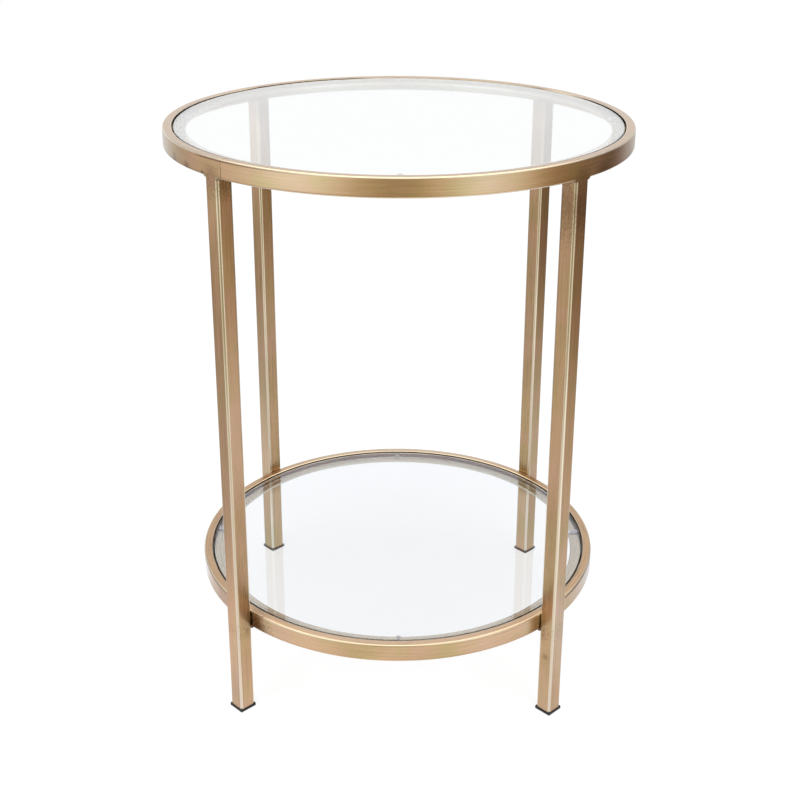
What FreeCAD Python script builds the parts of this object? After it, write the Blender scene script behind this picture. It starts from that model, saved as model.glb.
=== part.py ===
"""Round side table with two glass tiers, as separate solids in millimetres.

Four square legs stand under a rolled tube ring and carry a smaller ring between them. Each ring
has a flat ledge inside it, and a loose glass disc lies on four clear pads on that ledge.
The origin is on the floor at the table's axis, +Z is up and -Y is the front.
"""

import FreeCAD, Part
import math
import os

# Overall sizes
OVERALL_HEIGHT = 628.0
TOP_RING_DIAMETER = 500.0
LOWER_RING_TOP_HEIGHT = 122.0

# Rolled ring tube, the same stock for both rings
RING_TUBE_WIDTH = 10.0
RING_TUBE_HEIGHT = 20.0
RING_TUBE_WALL = 1.2
RING_TUBE_CORNER = 2.0

# Square leg tube
LEG_SIDE = 19.0
LEG_WALL = 1.2
LEG_CORNER = 3.2
LEG_TO_LOWER_RING_GAP = 0.4

# Flat bar ledge rolled to lie inside each ring
LEDGE_WIDTH = 14.0
LEDGE_THICKNESS = 3.0
LEDGE_CORNER = 0.8
LEDGE_FIT_GAP = 0.2

# Loose glass discs and the clear pads that they lie on
GLASS_THICKNESS = 5.0
GLASS_RECESS = 1.0
GLASS_EDGE_GAP = 1.2
GLASS_ARRIS = 0.6
PAD_THICKNESS = 2.0
PAD_LENGTH = 12.0
PAD_WIDTH = 6.0
PAD_DIMPLE_DIAMETER = 1.6
PAD_DIMPLE_SPACING = 3.6
PAD_DIMPLE_DEPTH = 0.5
PAD_AZIMUTHS = {"right": 4.0, "rear": 91.0, "left": 176.0, "front": 271.0}

# Push-in plastic feet
FOOT_SIDE = 20.5
FOOT_CORNER = 1.0
FOOT_FLANGE_THICKNESS = 3.0
FOOT_FLANGE_CHAMFER = 0.5
FOOT_PLUG_LENGTH = 16.0
FOOT_PLUG_GAP = 0.8
FOOT_PLUG_WALL = 1.6
FOOT_FIN_COUNT = 3
FOOT_FIN_THICKNESS = 1.2
FOOT_FIN_GAP = 0.1

# Plates that close the leg tubes beside the ring
LEG_CAP_THICKNESS = 1.5

# Welds
TOP_WELD_SIZE = 1.8
LOWER_WELD_RADIUS = 2.0
LOWER_WELD_LENGTH = 17.0
LOWER_WELD_DEPTH = 1.2
LOWER_WELD_RISE = 0.4
LEDGE_WELD_SIZE = 2.5
LEDGE_WELD_LENGTH = 18.0
LEDGE_WELD_COUNT = 8
SEAM_WIDTH = 1.6
SEAM_CAP_WIDTH = 4.0
SEAM_CAP_PROUD = 0.15
SEAM_CLEARANCE = 0.2

# The legs stand half way between the axes
LEG_AZIMUTHS = {"front_left": -135.0, "front_right": -45.0, "rear_right": 45.0, "rear_left": 135.0}
TOP_SEAM_LEG = "front_left"
LOWER_SEAM_LEG = "rear_left"

# Places that follow from the sizes above
TOP_RING_RADIUS = TOP_RING_DIAMETER / 2
LEG_CENTRE_RADIUS = TOP_RING_RADIUS - LEG_SIDE / 2
LEG_INNER_FACE = TOP_RING_RADIUS - LEG_SIDE
LOWER_RING_RADIUS = LEG_INNER_FACE - LEG_TO_LOWER_RING_GAP
LEG_TOP = OVERALL_HEIGHT - RING_TUBE_HEIGHT
LEG_BORE = LEG_SIDE - 2 * LEG_WALL

ORIGIN = FreeCAD.Vector(0, 0, 0)
UP = FreeCAD.Vector(0, 0, 1)


def rounded_rectangle(width, height, corner, centre):
    """Closed wire of a rounded rectangle in the XZ plane, centred at (x, z)."""
    x, z = centre
    half_w = width / 2
    half_h = height / 2
    cut = corner * (1 - math.sqrt(0.5))

    def point(dx, dz):
        return FreeCAD.Vector(x + dx, 0, z + dz)

    edges = []
    quarters = ((1, 1), (-1, 1), (-1, -1), (1, -1))
    for index, (sx, sz) in enumerate(quarters):
        along_side = point(sx * half_w, sz * (half_h - corner))
        middle = point(sx * (half_w - cut), sz * (half_h - cut))
        along_top = point(sx * (half_w - corner), sz * half_h)
        start, end = (along_side, along_top) if sx * sz > 0 else (along_top, along_side)
        edges.append(Part.Arc(start, middle, end).toShape())
        next_sx, next_sz = quarters[(index + 1) % 4]
        if sx == next_sx:
            next_start = point(next_sx * half_w, next_sz * (half_h - corner))
        else:
            next_start = point(next_sx * (half_w - corner), next_sz * half_h)
        edges.append(Part.LineSegment(end, next_start).toShape())
    return Part.Wire(edges)


def revolved(face, start_deg, sweep_deg):
    """Solid of a face in the XZ plane, turned about the table's axis from one azimuth."""
    solid = face.revolve(ORIGIN, UP, sweep_deg)
    solid.rotate(ORIGIN, UP, start_deg)
    return solid


def polygon_face(points):
    """Face in the XZ plane with straight sides through (x, z) points."""
    corners = [FreeCAD.Vector(x, 0, z) for x, z in points]
    return Part.Face(Part.makePolygon(corners + corners[:1]))


def rounded_post(side, corner, bottom, height, grown=0.0):
    """Upright square post with rounded corners at the leg's place, widened by grown at its top."""

    def outline(width, z):
        wire = rounded_rectangle(width, width, corner, (0, 0))
        wire.rotate(ORIGIN, FreeCAD.Vector(1, 0, 0), 90)
        wire.translate(FreeCAD.Vector(LEG_CENTRE_RADIUS, 0, z))
        return wire

    if grown:
        return Part.makeLoft([outline(side, bottom), outline(side + 2 * grown, bottom + height)], True, True)
    return Part.Face(outline(side, bottom)).extrude(FreeCAD.Vector(0, 0, height))


def at_leg(shape, leg):
    """Copy of a shape modelled at azimuth 0, turned to one of the legs."""
    turned = shape.copy()
    turned.rotate(ORIGIN, UP, LEG_AZIMUTHS[leg])
    return turned


def ring_section(outer_radius, top, grown=0.0, inner_too=True):
    """Face of the ring tube's section, hollow unless inner_too is off."""
    centre = (outer_radius - RING_TUBE_WIDTH / 2, top - RING_TUBE_HEIGHT / 2)
    outer = rounded_rectangle(
        RING_TUBE_WIDTH + 2 * grown, RING_TUBE_HEIGHT + 2 * grown, RING_TUBE_CORNER + grown, centre
    )
    if not inner_too:
        return Part.Face(outer)
    inner = rounded_rectangle(
        RING_TUBE_WIDTH - 2 * RING_TUBE_WALL,
        RING_TUBE_HEIGHT - 2 * RING_TUBE_WALL,
        RING_TUBE_CORNER - RING_TUBE_WALL,
        centre,
    )
    return Part.Face(outer).cut(Part.Face(inner)).Faces[0]


def seam_azimuth(leg):
    """Azimuth of a ring's closing seam, just past the side of a leg and its weld."""
    past_centre = LEG_SIDE / 2 + TOP_WELD_SIZE + SEAM_CAP_WIDTH / 2 + SEAM_CLEARANCE
    return LEG_AZIMUTHS[leg] + math.degrees(past_centre / TOP_RING_RADIUS)


def ring_tube(outer_radius, top, seam):
    """Rolled tube, open where its two ends meet at the seam."""
    gap = math.degrees(SEAM_WIDTH / outer_radius)
    return revolved(ring_section(outer_radius, top), seam + gap / 2, 360 - gap)


def ring_seam(outer_radius, top, seam):
    """Weld that fills the seam, with a low cap that laps both ends of the tube."""
    gap = math.degrees(SEAM_WIDTH / outer_radius)
    lap = math.degrees(SEAM_CAP_WIDTH / outer_radius)
    fill = revolved(ring_section(outer_radius, top), seam - gap / 2, gap)
    grown = ring_section(outer_radius, top, SEAM_CAP_PROUD, inner_too=False)
    plain = ring_section(outer_radius, top, inner_too=False)
    cap = revolved(grown.cut(plain).Faces[0], seam - lap / 2, lap)
    return fill.fuse(cap).removeSplitter()


def ledge(ring_radius, ring_top):
    """Flat bar rolled into a ring that lies inside the tube ring."""
    outer = ring_radius - RING_TUBE_WIDTH - LEDGE_FIT_GAP
    middle = (outer - LEDGE_WIDTH / 2, ledge_top(ring_top) - LEDGE_THICKNESS / 2)
    return revolved(Part.Face(rounded_rectangle(LEDGE_WIDTH, LEDGE_THICKNESS, LEDGE_CORNER, middle)), 0, 360)


def ledge_top(ring_top):
    """Height of the ledge's upper face, under the pads and the glass."""
    return ring_top - GLASS_RECESS - GLASS_THICKNESS - PAD_THICKNESS


def ledge_welds(ring_radius, ring_top):
    """Stitch welds in the corner under the ledge, evenly round the ring and clear of the legs."""
    wall = ring_radius - RING_TUBE_WIDTH
    underside = ledge_top(ring_top) - LEDGE_THICKNESS
    corner = [
        (wall, underside),
        (wall, underside - LEDGE_WELD_SIZE),
        (wall - LEDGE_FIT_GAP - LEDGE_CORNER - LEDGE_WELD_SIZE, underside),
    ]
    sweep = math.degrees(LEDGE_WELD_LENGTH / wall)
    pitch = 360 / LEDGE_WELD_COUNT
    stitches = [
        revolved(polygon_face(corner), (index + 0.5) * pitch - sweep / 2, sweep)
        for index in range(LEDGE_WELD_COUNT)
    ]
    return Part.makeCompound(stitches)


def glass_disc(ring_radius, ring_top):
    """Glass with a flat ground edge and a small arris all round, top and bottom."""
    radius = ring_radius - RING_TUBE_WIDTH - GLASS_EDGE_GAP
    top = ring_top - GLASS_RECESS
    bottom = top - GLASS_THICKNESS
    section = [
        (0, bottom),
        (radius - GLASS_ARRIS, bottom),
        (radius, bottom + GLASS_ARRIS),
        (radius, top - GLASS_ARRIS),
        (radius - GLASS_ARRIS, top),
        (0, top),
    ]
    return revolved(polygon_face(section), 0, 360)


def pad(ring_radius, ring_top, azimuth):
    """Clear pad across the ledge, rounded at both ends, with two dimples in its upper face."""
    middle = ring_radius - RING_TUBE_WIDTH - LEDGE_FIT_GAP - LEDGE_WIDTH / 2
    bottom = ledge_top(ring_top)
    straight = PAD_LENGTH - PAD_WIDTH
    body = Part.makeBox(
        straight, PAD_WIDTH, PAD_THICKNESS, FreeCAD.Vector(middle - straight / 2, -PAD_WIDTH / 2, bottom)
    )
    for side in (-1, 1):
        end = FreeCAD.Vector(middle + side * straight / 2, 0, bottom)
        body = body.fuse(Part.makeCylinder(PAD_WIDTH / 2, PAD_THICKNESS, end))
    body = body.removeSplitter()
    for side in (-1, 1):
        floor = bottom + PAD_THICKNESS - PAD_DIMPLE_DEPTH
        place = FreeCAD.Vector(middle + side * PAD_DIMPLE_SPACING / 2, 0, floor)
        body = body.cut(Part.makeCylinder(PAD_DIMPLE_DIAMETER / 2, PAD_DIMPLE_DEPTH, place))
    body.rotate(ORIGIN, UP, azimuth)
    return body


def leg():
    """Square tube from the foot's flange up to the underside of the top ring."""
    height = LEG_TOP - FOOT_FLANGE_THICKNESS
    tube = rounded_post(LEG_SIDE, LEG_CORNER, FOOT_FLANGE_THICKNESS, height)
    return tube.cut(rounded_post(LEG_BORE, LEG_CORNER - LEG_WALL, FOOT_FLANGE_THICKNESS, height))


def leg_cap():
    """Plate on the part of the leg's open end that the ring doesn't cover."""
    plate = rounded_post(LEG_SIDE, LEG_CORNER, LEG_TOP, LEG_CAP_THICKNESS)
    inside = Part.makeCylinder(TOP_RING_RADIUS - RING_TUBE_WIDTH / 2, OVERALL_HEIGHT)
    ring = revolved(ring_section(TOP_RING_RADIUS, OVERALL_HEIGHT, inner_too=False), -90, 180)
    return plate.common(inside).cut(ring)


def foot():
    """Push-in foot: a flange under the leg and a hollow ribbed plug in its bore."""
    flange = rounded_post(FOOT_SIDE, FOOT_CORNER, 0, FOOT_FLANGE_THICKNESS)
    lower_edges = [edge for edge in flange.Edges if edge.BoundBox.ZMax < FOOT_FLANGE_CHAMFER]
    flange = flange.makeChamfer(FOOT_FLANGE_CHAMFER, lower_edges)
    plug_side = LEG_BORE - 2 * FOOT_PLUG_GAP
    corner = LEG_CORNER - LEG_WALL
    plug = rounded_post(plug_side, corner, FOOT_FLANGE_THICKNESS, FOOT_PLUG_LENGTH)
    fin_side = LEG_BORE - 2 * FOOT_FIN_GAP
    pitch = FOOT_PLUG_LENGTH / (FOOT_FIN_COUNT + 1)
    for index in range(FOOT_FIN_COUNT):
        fin_bottom = FOOT_FLANGE_THICKNESS + (index + 1) * pitch - FOOT_FIN_THICKNESS / 2
        plug = plug.fuse(rounded_post(fin_side, corner, fin_bottom, FOOT_FIN_THICKNESS))
    hollow_side = plug_side - 2 * FOOT_PLUG_WALL
    hollow = Part.makeBox(
        hollow_side,
        hollow_side,
        FOOT_PLUG_LENGTH,
        FreeCAD.Vector(LEG_CENTRE_RADIUS - hollow_side / 2, -hollow_side / 2, FOOT_FLANGE_THICKNESS),
    )
    return flange.fuse(plug.cut(hollow)).removeSplitter()


def top_weld():
    """Weld round the leg's outer end, ground flush with the ring outside and filleted at its sides."""
    collar = rounded_post(LEG_SIDE, LEG_CORNER, LEG_TOP - TOP_WELD_SIZE, TOP_WELD_SIZE, TOP_WELD_SIZE)
    flare = LEG_SIDE + 2 * TOP_WELD_SIZE
    fill = Part.makeBox(
        flare / 2,
        flare,
        RING_TUBE_CORNER,
        FreeCAD.Vector(TOP_RING_RADIUS - flare / 2, -flare / 2, LEG_TOP),
    )
    flat_start = TOP_RING_RADIUS - RING_TUBE_WIDTH + RING_TUBE_CORNER
    band = Part.makeCylinder(TOP_RING_RADIUS, OVERALL_HEIGHT).cut(Part.makeCylinder(flat_start, OVERALL_HEIGHT))
    ring = revolved(ring_section(TOP_RING_RADIUS, OVERALL_HEIGHT, inner_too=False), -90, 180)
    post = rounded_post(LEG_SIDE, LEG_CORNER, 0, LEG_TOP)
    return collar.fuse(fill).common(band).cut(ring).cut(post)


def lower_weld():
    """Bead under the lower ring that ties it to the leg's inner face."""
    centre_x = LEG_INNER_FACE - LOWER_WELD_DEPTH
    centre_z = LOWER_RING_TOP_HEIGHT - RING_TUBE_HEIGHT + LOWER_WELD_RISE
    straight = LOWER_WELD_LENGTH - 2 * LOWER_WELD_RADIUS
    start = FreeCAD.Vector(centre_x, -straight / 2, centre_z)
    bead = Part.makeCylinder(LOWER_WELD_RADIUS, straight, start, FreeCAD.Vector(0, 1, 0))
    for side in (-1, 1):
        bead = bead.fuse(Part.makeSphere(LOWER_WELD_RADIUS, FreeCAD.Vector(centre_x, side * straight / 2, centre_z)))
    ring = revolved(ring_section(LOWER_RING_RADIUS, LOWER_RING_TOP_HEIGHT, inner_too=False), -90, 180)
    return bead.cut(ring).cut(rounded_post(LEG_SIDE, LEG_CORNER, 0, LEG_TOP))


def ring_pieces(tier, ring_radius, ring_top, seam_leg):
    """Every piece of one tier: tube, seam, ledge, stitch welds, glass and pads."""
    seam = seam_azimuth(seam_leg)
    pieces = {
        f"{tier}_ring": ring_tube(ring_radius, ring_top, seam),
        f"{tier}_ring_seam": ring_seam(ring_radius, ring_top, seam),
        f"{tier}_ledge": ledge(ring_radius, ring_top),
        f"{tier}_ledge_welds": ledge_welds(ring_radius, ring_top),
        f"{tier}_glass": glass_disc(ring_radius, ring_top),
    }
    for place, azimuth in PAD_AZIMUTHS.items():
        pieces[f"{tier}_pad_{place}"] = pad(ring_radius, ring_top, azimuth)
    return pieces


def leg_pieces():
    """The pieces that repeat at each leg."""
    modelled = {
        "leg": leg(),
        "leg_cap": leg_cap(),
        "foot": foot(),
        "top_weld": top_weld(),
        "lower_weld": lower_weld(),
    }
    return {f"{name}_{place}": at_leg(shape, place) for name, shape in modelled.items() for place in LEG_AZIMUTHS}


def main():
    pieces = ring_pieces("top", TOP_RING_RADIUS, OVERALL_HEIGHT, TOP_SEAM_LEG)
    pieces.update(ring_pieces("lower", LOWER_RING_RADIUS, LOWER_RING_TOP_HEIGHT, LOWER_SEAM_LEG))
    pieces.update(leg_pieces())
    os.makedirs("parts", exist_ok=True)
    for name, shape in pieces.items():
        shape.exportStep(f"parts/{name}.step")
        print(f"{name}: {len(shape.Solids)} solid(s), {shape.Volume / 1000:.2f} cm3, valid {shape.isValid()}")


main()
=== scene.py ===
"""Looks of a round side table with two glass tiers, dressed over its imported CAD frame.

The frame is steel: two rolled tube rings, four square tube legs and a flat bar ledge in each ring,
all welded together, plated antique gold, brushed along the tube and lacquered. A loose disc of
clear glass lies in each ring on four clear pads. The table's axis is Z and its front faces -Y.
Azimuths are degrees round that axis: 0 is the right, 90 the rear, 180 the left and -90 the front.
Every length is in metres, and mm() turns the ones that are given here.
"""

import logging
import math
from dataclasses import dataclass, field
from enum import Enum
from functools import cached_property

import bmesh
import bpy
from mathutils import Matrix, Vector

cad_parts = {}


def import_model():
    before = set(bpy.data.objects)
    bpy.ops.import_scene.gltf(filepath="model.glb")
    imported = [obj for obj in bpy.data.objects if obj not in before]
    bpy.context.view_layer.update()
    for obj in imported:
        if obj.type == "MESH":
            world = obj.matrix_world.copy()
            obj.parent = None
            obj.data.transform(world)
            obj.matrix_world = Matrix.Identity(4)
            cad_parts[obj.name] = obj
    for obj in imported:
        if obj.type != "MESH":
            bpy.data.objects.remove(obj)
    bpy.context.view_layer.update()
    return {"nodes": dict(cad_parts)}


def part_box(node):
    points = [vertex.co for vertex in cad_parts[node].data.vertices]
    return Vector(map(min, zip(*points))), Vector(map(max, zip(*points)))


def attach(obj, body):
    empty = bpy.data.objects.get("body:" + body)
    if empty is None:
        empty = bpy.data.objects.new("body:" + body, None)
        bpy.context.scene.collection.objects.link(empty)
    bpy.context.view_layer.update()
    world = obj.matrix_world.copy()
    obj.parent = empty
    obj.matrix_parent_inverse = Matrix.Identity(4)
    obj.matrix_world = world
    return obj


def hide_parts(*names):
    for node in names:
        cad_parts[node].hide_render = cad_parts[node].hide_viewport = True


LOG = logging.getLogger("side_table")
FRAME_BODY = "frame"
LEG_AZIMUTHS = {"front_left": -135.0, "front_right": -45.0, "rear_right": 45.0, "rear_left": 135.0}
PAD_PLACES = ("right", "rear", "left", "front")
Node = bpy.types.Node
Socket = bpy.types.NodeSocket


def mm(length: float) -> float:
    """A length in millimetres as metres."""
    return length / 1000


def linear(hex_colour: str) -> tuple[float, float, float, float]:
    """The one way colours come in: sRGB hex to linear light.

    Args:
        hex_colour: six hex digits after a hash sign.

    Returns:
        Linear red, green and blue with a full alpha.
    """
    channels = (int(hex_colour[i : i + 2], 16) / 255 for i in (1, 3, 5))
    values = [c / 12.92 if c <= 0.04045 else ((c + 0.055) / 1.055) ** 2.4 for c in channels]
    return (*values, 1.0)


def around(azimuth: float, radius: float, height: float) -> Vector:
    """The place at an azimuth, a distance from the table's axis and a height."""
    turn = math.radians(azimuth)
    return Vector((radius * math.cos(turn), radius * math.sin(turn), height))


class NodeTree:
    """The node tree of a material or a world while it is built.

    Attributes:
        owner: the material or the world.
        coordinates: the texture coordinates that its place comes from.
    """

    def __init__(self, owner: bpy.types.Material | bpy.types.World, coordinates: str = "Object") -> None:
        """Empties the owner's tree.

        Args:
            owner: the material or the world.
            coordinates: the texture coordinates that its place comes from.
        """
        self.owner = owner
        self.coordinates = coordinates
        owner.use_nodes = True
        owner.node_tree.nodes.clear()

    def add(
        self,
        kind: str,
        *values: object,
        named: dict[str, object] | None = None,
        stops: dict[float, object] | None = None,
        **settings: object,
    ) -> Node:
        """Adds a node with its settings and links.

        Args:
            kind: Blender's name for the node's type, after "ShaderNode".
            *values: what its first inputs get: a node, a socket, a hex colour or a plain value.
            named: the same for inputs that are given by name.
            stops: a hex colour or a grey level for each place from 0 to 1 on a colour ramp.
            **settings: the node's own properties.

        Returns:
            The new node.
        """
        tree = self.owner.node_tree
        node = tree.nodes.new(f"ShaderNode{kind}")
        for name, value in settings.items():
            setattr(node, name, value)
        shown = [socket for socket in node.inputs if socket.enabled]
        by_name = {socket.name: socket for socket in shown}
        given = list(zip(shown, values)) + [(by_name[name], value) for name, value in (named or {}).items()]
        for target, value in given:
            if isinstance(value, Node):
                value = next(socket for socket in value.outputs if socket.enabled)
            if isinstance(value, Socket):
                tree.links.new(value, target)
            else:
                target.default_value = linear(value) if isinstance(value, str) else value
        if stops:
            elements = node.color_ramp.elements
            while len(elements) < len(stops):
                elements.new(1.0)
            for element, (place, value) in zip(elements, sorted(stops.items()), strict=True):
                element.position = place
                element.color = linear(value) if isinstance(value, str) else (value, value, value, 1.0)
        return node

    @cached_property
    def place(self) -> Socket:
        """The place in the table's frame, or the direction that a world is seen in."""
        return self.add("TexCoord").outputs[self.coordinates]

    @cached_property
    def axes(self) -> tuple[Socket, Socket, Socket]:
        """The place's X, Y and Z."""
        return tuple(self.add("SeparateXYZ", self.place).outputs)

    @cached_property
    def flat(self) -> Node:
        """The place with its height left out."""
        return self.add("CombineXYZ", *self.axes[:2])

    def by_azimuth(self, stops: dict[float, object]) -> Node:
        """Adds colours or levels that run round the table's axis.

        Args:
            stops: a hex colour or a grey level for azimuths from -180 to 180.

        Returns:
            The colour ramp.
        """
        x, y, _ = self.axes
        heading = self.add("Math", y, x, operation="ARCTAN2")
        turns = self.add("Math", heading, 1 / math.tau, 0.5, operation="MULTIPLY_ADD")
        places = {azimuth / 360 + 0.5: value for azimuth, value in stops.items()}
        return self.add("ValToRGB", turns, stops=places)


class Grain(Enum):
    """Which way a piece was brushed."""

    ROUND_THE_RING = "round the ring"
    UP_THE_LEG = "up the leg"


@dataclass(frozen=True)
class TubeSection:
    """Where a tube's section lies, so that a finish can find its corners.

    Attributes:
        middle_out: distance of the section's middle from the table's axis.
        middle_up: height of the section's middle, which a leg doesn't use.
        width: size of the section outwards.
        height: size upwards, or sideways on a leg.
        corner: radius of its corners.
    """

    middle_out: float
    middle_up: float
    width: float
    height: float
    corner: float


@dataclass(frozen=True)
class PatinaSpot:
    """A place where heat and handling left the gold darker.

    Attributes:
        place: its centre in the table's frame.
        reach: how far it goes.
        depth: how dark it gets, from 0 to 1.
        at_every_leg: whether it repeats at all four legs, with its place given in the rear right quarter.
    """

    place: Vector
    reach: float
    depth: float
    at_every_leg: bool = True


@dataclass(frozen=True)
class GlassGap:
    """The gap between a ring's inner wall and its glass, where shade is painted on the wall as a dark
    colour.

    Attributes:
        bottom: height where the painted shade starts on the wall.
        top: height where it ends, just over the glass.
        gap_shade: how much painted shade there is, as a share by azimuth.
    """

    bottom: float
    top: float
    gap_shade: dict[float, float]


@dataclass(frozen=True)
class AntiqueGold:
    """Steel plated antique gold, brushed along the tube with emery, rubbed back and lacquered.

    The eye gets a warm beige gold with fine streaks along each tube, paler metal where the corners
    are rubbed, faint pink and green clouds, and brown patina round the welds. On a ring the colour
    also holds a painted sheen on the top face, painted shade beside the glass and on the inner
    corner at the rear, and a painted dark reflection line under the upper outer corner.

    Attributes:
        name: the finish's name.
        grain: which way the tube was brushed.
        section: the tube's section.
        spots: its patina.
        seam_azimuth: where a ring's ends are welded together.
        glass_gap: where shade is painted beside a ring's glass.
        olive: the gold where its clouds are greenish.
        body: the gold between the clouds.
        rosy: the gold where its clouds are pinkish.
        worn: gold towards the borders of a rubbed corner.
        rubbed_through: gold in the middle of a rubbed corner.
        worn_low: gold of a leg's corners near the floor.
        patina: brown of the patina, also used for the painted dark reflection line.
        lower_edge: brown along a ring's lower edge.
        painted_top_sheen: paler gold painted on a ring's top face by azimuth, a painted sheen.
        painted_rear_corner_shade: darker gold painted as shade on a ring's inner corner at the rear, where
            that isn't rubbed.
        rubbed_and_unshaded: how much a ring's inner corner is rubbed and free of that painted shade, as a
            share by azimuth.
        dark_reflection_line: painted dark reflection line under a ring's upper outer corner, as a share by
            azimuth.
        gap_shade_colour: colour of the painted shade beside the glass.
        streak_length: length of the brushed streaks.
        streak_width: their width.
        cloud_size: size of the soft clouds of colour.
        speck_size: size of the specks at the patina's borders.
        relief: height of the streaks.
        roughness: middle roughness.
        roughness_swing: how far the streaks change it.
        lacquer: weight of the lacquer.
        lacquer_roughness: its roughness.
        gap_shade_roughness: roughness in the painted shade.
        wall_depth: how thick a layer of the inner wall gets the painted shade.
        seam_width: distance between the two lines beside a seam.
        seam_line: width of those lines.
        seam_drop: how far below a ring's top they end.
        reflection_line_drop: how far below a ring's top the painted dark reflection line lies.
        reflection_line_reach: how far it goes up and down from there.
        edge_reach: how far the brown of the lower edge goes up.
        face_depth: how thick a layer counts as the top face.
        scuffed: heights between which a leg's corners turn from worn_low to worn.
    """

    name: str
    grain: Grain
    section: TubeSection
    spots: tuple[PatinaSpot, ...]
    seam_azimuth: float | None = None
    glass_gap: GlassGap | None = None
    olive: str = "#C0A477"
    body: str = "#C6A47C"
    rosy: str = "#CAA482"
    worn: str = "#D6C3A6"
    rubbed_through: str = "#B8A582"
    worn_low: str = "#E0D0B6"
    patina: str = "#6A4426"
    lower_edge: str = "#B67E49"
    painted_top_sheen: dict[float, str] | None = None
    painted_rear_corner_shade: str | None = None
    rubbed_and_unshaded: dict[float, float] = field(
        default_factory=lambda: {-180: 1.0, 30: 1.0, 50: 0.0, 130: 0.0, 150: 1.0}
    )
    dark_reflection_line: dict[float, float] | None = None
    gap_shade_colour: str = "#2E2116"
    streak_length: float = mm(55)
    # Emery scratches are under 0.1 mm apart; these are drawn coarser so that they show.
    streak_width: float = mm(1.1)
    cloud_size: float = mm(30)
    speck_size: float = mm(2.5)
    relief: float = mm(0.03)
    roughness: float = 0.3
    roughness_swing: float = 0.12
    lacquer: float = 0.3
    lacquer_roughness: float = 0.15
    gap_shade_roughness: float = 0.9
    wall_depth: float = mm(0.6)
    seam_width: float = mm(4)
    seam_line: float = mm(0.8)
    seam_drop: float = mm(2)
    reflection_line_drop: float = mm(1.9)
    reflection_line_reach: float = mm(0.65)
    edge_reach: float = mm(4)
    face_depth: float = mm(0.3)
    scuffed: tuple[float, float] = (mm(360), mm(460))

    def material(self) -> bpy.types.Material:
        """Builds the finish.

        Returns:
            The material, ready to go on a piece.
        """
        tree = NodeTree(bpy.data.materials.new(self.name))
        on_ring = self.grain is Grain.ROUND_THE_RING
        along, out, side = self._ring_frame(tree) if on_ring else self._leg_frame(tree)
        across = tree.add("Math", out, self.streak_width, operation="DIVIDE")
        pattern = {"Vector": along, "W": across, "Scale": 1.0, "Detail": 5.0, "Roughness": 0.65}
        streaks = tree.add("TexNoise", named=pattern, noise_dimensions="4D")
        cloud = {"Vector": tree.place, "Scale": 1 / self.cloud_size, "Detail": 3.0}
        clouds = tree.add("TexNoise", named=cloud)
        speck = {"Vector": tree.place, "Scale": 1 / self.speck_size, "Detail": 4.0}
        specks = tree.add("TexNoise", named=speck)
        arc = self._corner_arc(tree, out, side, streaks)
        dark = self._patina_mask(tree, specks)
        tints = tree.add("ValToRGB", clouds, stops={0.36: self.olive, 0.5: self.body, 0.64: self.rosy})
        if on_ring:
            tints = self._ring_tints(tree, tints, clouds, side)
        # Painted shade: the inner corner at the rear gets a darker gold in place of its paler rubbed one.
        if self.painted_rear_corner_shade:
            rubbed_unshaded = self._rubbed_and_unshaded_mask(tree, out)
            arc = tree.add("Math", arc, rubbed_unshaded, operation="MULTIPLY")
            tints = tree.add("Mix", rubbed_unshaded, self.painted_rear_corner_shade, tints, data_type="RGBA")
        # Painted reflection: a thin dark line under the upper outer corner, in the patina's brown.
        if self.dark_reflection_line:
            dark = self._with_dark_reflection_line(tree, out, side, dark)
        colour = self._colour(tree, tints, streaks, arc, dark)
        smooth = self.roughness - self.roughness_swing / 2
        rough = tree.add("MapRange", streaks, 0.3, 0.7, smooth, smooth + self.roughness_swing)
        relief = {"Height": streaks, "Distance": self.relief, "Strength": 0.35}
        lacquer = self.lacquer
        # Painted shade: the inner wall beside the glass gets a dark colour, a high roughness and no lacquer.
        if self.glass_gap:
            unshaded = self._unshaded_gap_mask(tree, out)
            colour = tree.add("Mix", unshaded, self.gap_shade_colour, colour, data_type="RGBA")
            rough = tree.add("Mix", unshaded, self.gap_shade_roughness, rough)
            lacquer = tree.add("Math", unshaded, self.lacquer, operation="MULTIPLY")
        finish = {
            "Base Color": colour,
            "Metallic": 1.0,
            "Roughness": rough,
            "Normal": tree.add("Bump", named=relief),
            "Coat Weight": lacquer,
            "Coat Roughness": self.lacquer_roughness,
        }
        tree.add("OutputMaterial", tree.add("BsdfPrincipled", named=finish))
        return tree.owner

    def _ring_frame(self, tree: NodeTree) -> tuple[Node, Node, Node]:
        """Coordinates that follow a ring without a break.

        Args:
            tree: the finish's node tree.

        Returns:
            The streaks' place, and the distances outwards and upwards from the section's middle.
        """
        height = tree.axes[2]
        heading = tree.add("VectorMath", tree.flat, operation="NORMALIZE")
        run = self.section.middle_out / self.streak_length
        turn = tree.add("VectorMath", heading, run, operation="SCALE")
        rise = tree.add("Math", height, self.streak_width, operation="DIVIDE")
        up = tree.add("CombineXYZ", named={"Z": rise})
        along = tree.add("VectorMath", turn, up, operation="ADD")
        radius = tree.add("VectorMath", tree.flat, operation="LENGTH")
        out = tree.add("Math", radius, self.section.middle_out, operation="SUBTRACT")
        side = tree.add("Math", height, self.section.middle_up, operation="SUBTRACT")
        return along, out, side

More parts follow.
